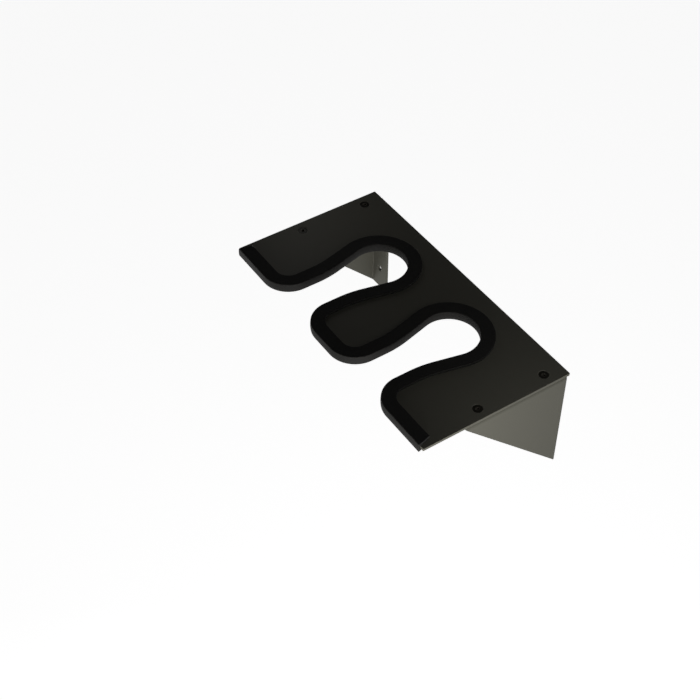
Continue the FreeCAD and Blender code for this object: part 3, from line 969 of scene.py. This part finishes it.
class RACK_OT_nuts(bpy.types.Operator):
    """Locking nuts with a nylon ring in the collar."""
    bl_idname = "rack.nuts"
    bl_label = "Nuts"

    def execute(self, context):
        for spot in SPOTS:
            node = "nut_" + spot
            low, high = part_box(node)
            rings = nut_rings(low.z, high.z, high.y - low.y)
            nylon = range(len(rings) - 5, len(rings) - 2)
            mesh = turned_mesh(node + "_locking", rings, (low + high) / 2, close=True, second_finish=nylon)
            add_piece(node + "_locking", mesh, ["zinc_plated_steel", "nylon_insert"], "zinc", node)
        return {"FINISHED"}


class RACK_OT_stage(bpy.types.Operator):
    """Pale floor, soft lights on both sides and the camera."""
    bl_idname = "rack.stage"
    bl_label = "Stage"

    def execute(self, context):
        stage = context.scene.rack_stage
        self.lay_floor(context, stage)
        self.light_world(context)
        for name, place, size in LIGHTS:
            self.hang_light(context, name + "_light", getattr(stage, name + "_power"), place, size)
        self.stand_camera(context, stage)
        return {"FINISHED"}

    def lay_floor(self, context, stage):
        shape = bmesh.new()
        bmesh.ops.create_grid(shape, x_segments=8, y_segments=8, size=stage.floor_size / 2)
        mesh = finished_mesh("studio_floor", shape)
        mesh.materials.append(finish_of("pale_studio_floor"))
        floor = bpy.data.objects.new("studio_floor", mesh)
        floor.location = (0.0, 0.0, -stage.floor_drop)
        context.scene.collection.objects.link(floor)

    def light_world(self, context):
        """Pale horizon that darkens overhead, and a plain pale backdrop for the camera."""
        dark_from = 0.25
        pale = (0.95, 0.95, 0.95, 1.0)
        dark = (0.017, 0.017, 0.017, 1.0)
        world = bpy.data.worlds.new("studio_world")
        context.scene.world = world
        world.use_nodes = True
        tree = world.node_tree
        tree.nodes.clear()
        direction = add_node(tree, "ShaderNodeTexCoord").outputs["Generated"]
        height = add_node(tree, "ShaderNodeSeparateXYZ", {0: direction}).outputs["Z"]
        share = spread(tree, height, 0.0, dark_from, 0.0, 1.0)
        sky = blend_colours(tree, share, pale, dark)
        seen = add_node(tree, "ShaderNodeLightPath").outputs["Is Camera Ray"]
        backdrop = blend_colours(tree, seen, sky, pale)
        background = add_node(tree, "ShaderNodeBackground", {"Color": backdrop, "Strength": 1.0})
        output = add_node(tree, "ShaderNodeOutputWorld")
        tree.links.new(background.outputs[0], output.inputs["Surface"])

    def hang_light(self, context, name, power, place, size):
        light = bpy.data.lights.new(name, "AREA")
        light.energy = power
        light.size = size
        lamp = bpy.data.objects.new(name, light)
        lamp.location = place
        lamp.rotation_euler = Vector(place).to_track_quat("Z", "Y").to_euler()
        context.scene.collection.objects.link(lamp)

    def stand_camera(self, context, stage):
        optics = bpy.data.cameras.new("camera")
        optics.lens = stage.lens
        optics.sensor_width = 36.0
        optics.clip_end = 100.0
        camera = bpy.data.objects.new("camera", optics)
        camera.location = stage.camera_place
        camera.rotation_euler = (math.pi / 2 - stage.camera_elevation, 0.0, stage.camera_azimuth)
        context.scene.collection.objects.link(camera)
        context.scene.camera = camera
        context.scene.view_settings.view_transform = "Standard"


class RACK_PT_panel(bpy.types.Panel):
    """Lists the rack's pieces in the order that they are made."""
    bl_idname = "RACK_PT_panel"
    bl_label = "Boot Rack"
    bl_space_type = "VIEW_3D"
    bl_region_type = "UI"
    bl_category = "Boot Rack"

    def draw(self, context):
        for operator in OPERATORS:
            self.layout.operator(operator.bl_idname)
        for group in (context.scene.rack_sizes, context.scene.rack_finishes, context.scene.rack_stage):
            box = self.layout.box()
            for name in group.bl_rna.properties.keys():
                if name not in ("rna_type", "name"):
                    box.prop(group, name)


OPERATORS = (RACK_OT_top_plate, RACK_OT_brackets, RACK_OT_edging, RACK_OT_screws, RACK_OT_washers,
             RACK_OT_nuts, RACK_OT_stage)
GROUPS = {"rack_sizes": RackSizes, "rack_finishes": RackFinishes, "rack_stage": RackStage}


def register():
    for name, group in GROUPS.items():
        bpy.utils.register_class(group)
        setattr(bpy.types.Scene, name, bpy.props.PointerProperty(type=group))
    for operator in OPERATORS:
        bpy.utils.register_class(operator)
    bpy.utils.register_class(RACK_PT_panel)


def unregister():
    bpy.utils.unregister_class(RACK_PT_panel)
    for operator in reversed(OPERATORS):
        bpy.utils.unregister_class(operator)
    for name, group in GROUPS.items():
        delattr(bpy.types.Scene, name)
        bpy.utils.unregister_class(group)


def main():
    register()
    bpy.ops.rack.top_plate()
    bpy.ops.rack.brackets()
    bpy.ops.rack.edging()
    bpy.ops.rack.screws()
    bpy.ops.rack.washers()
    bpy.ops.rack.nuts()
    bpy.ops.rack.stage()


if __name__ == "__main__":
    main()
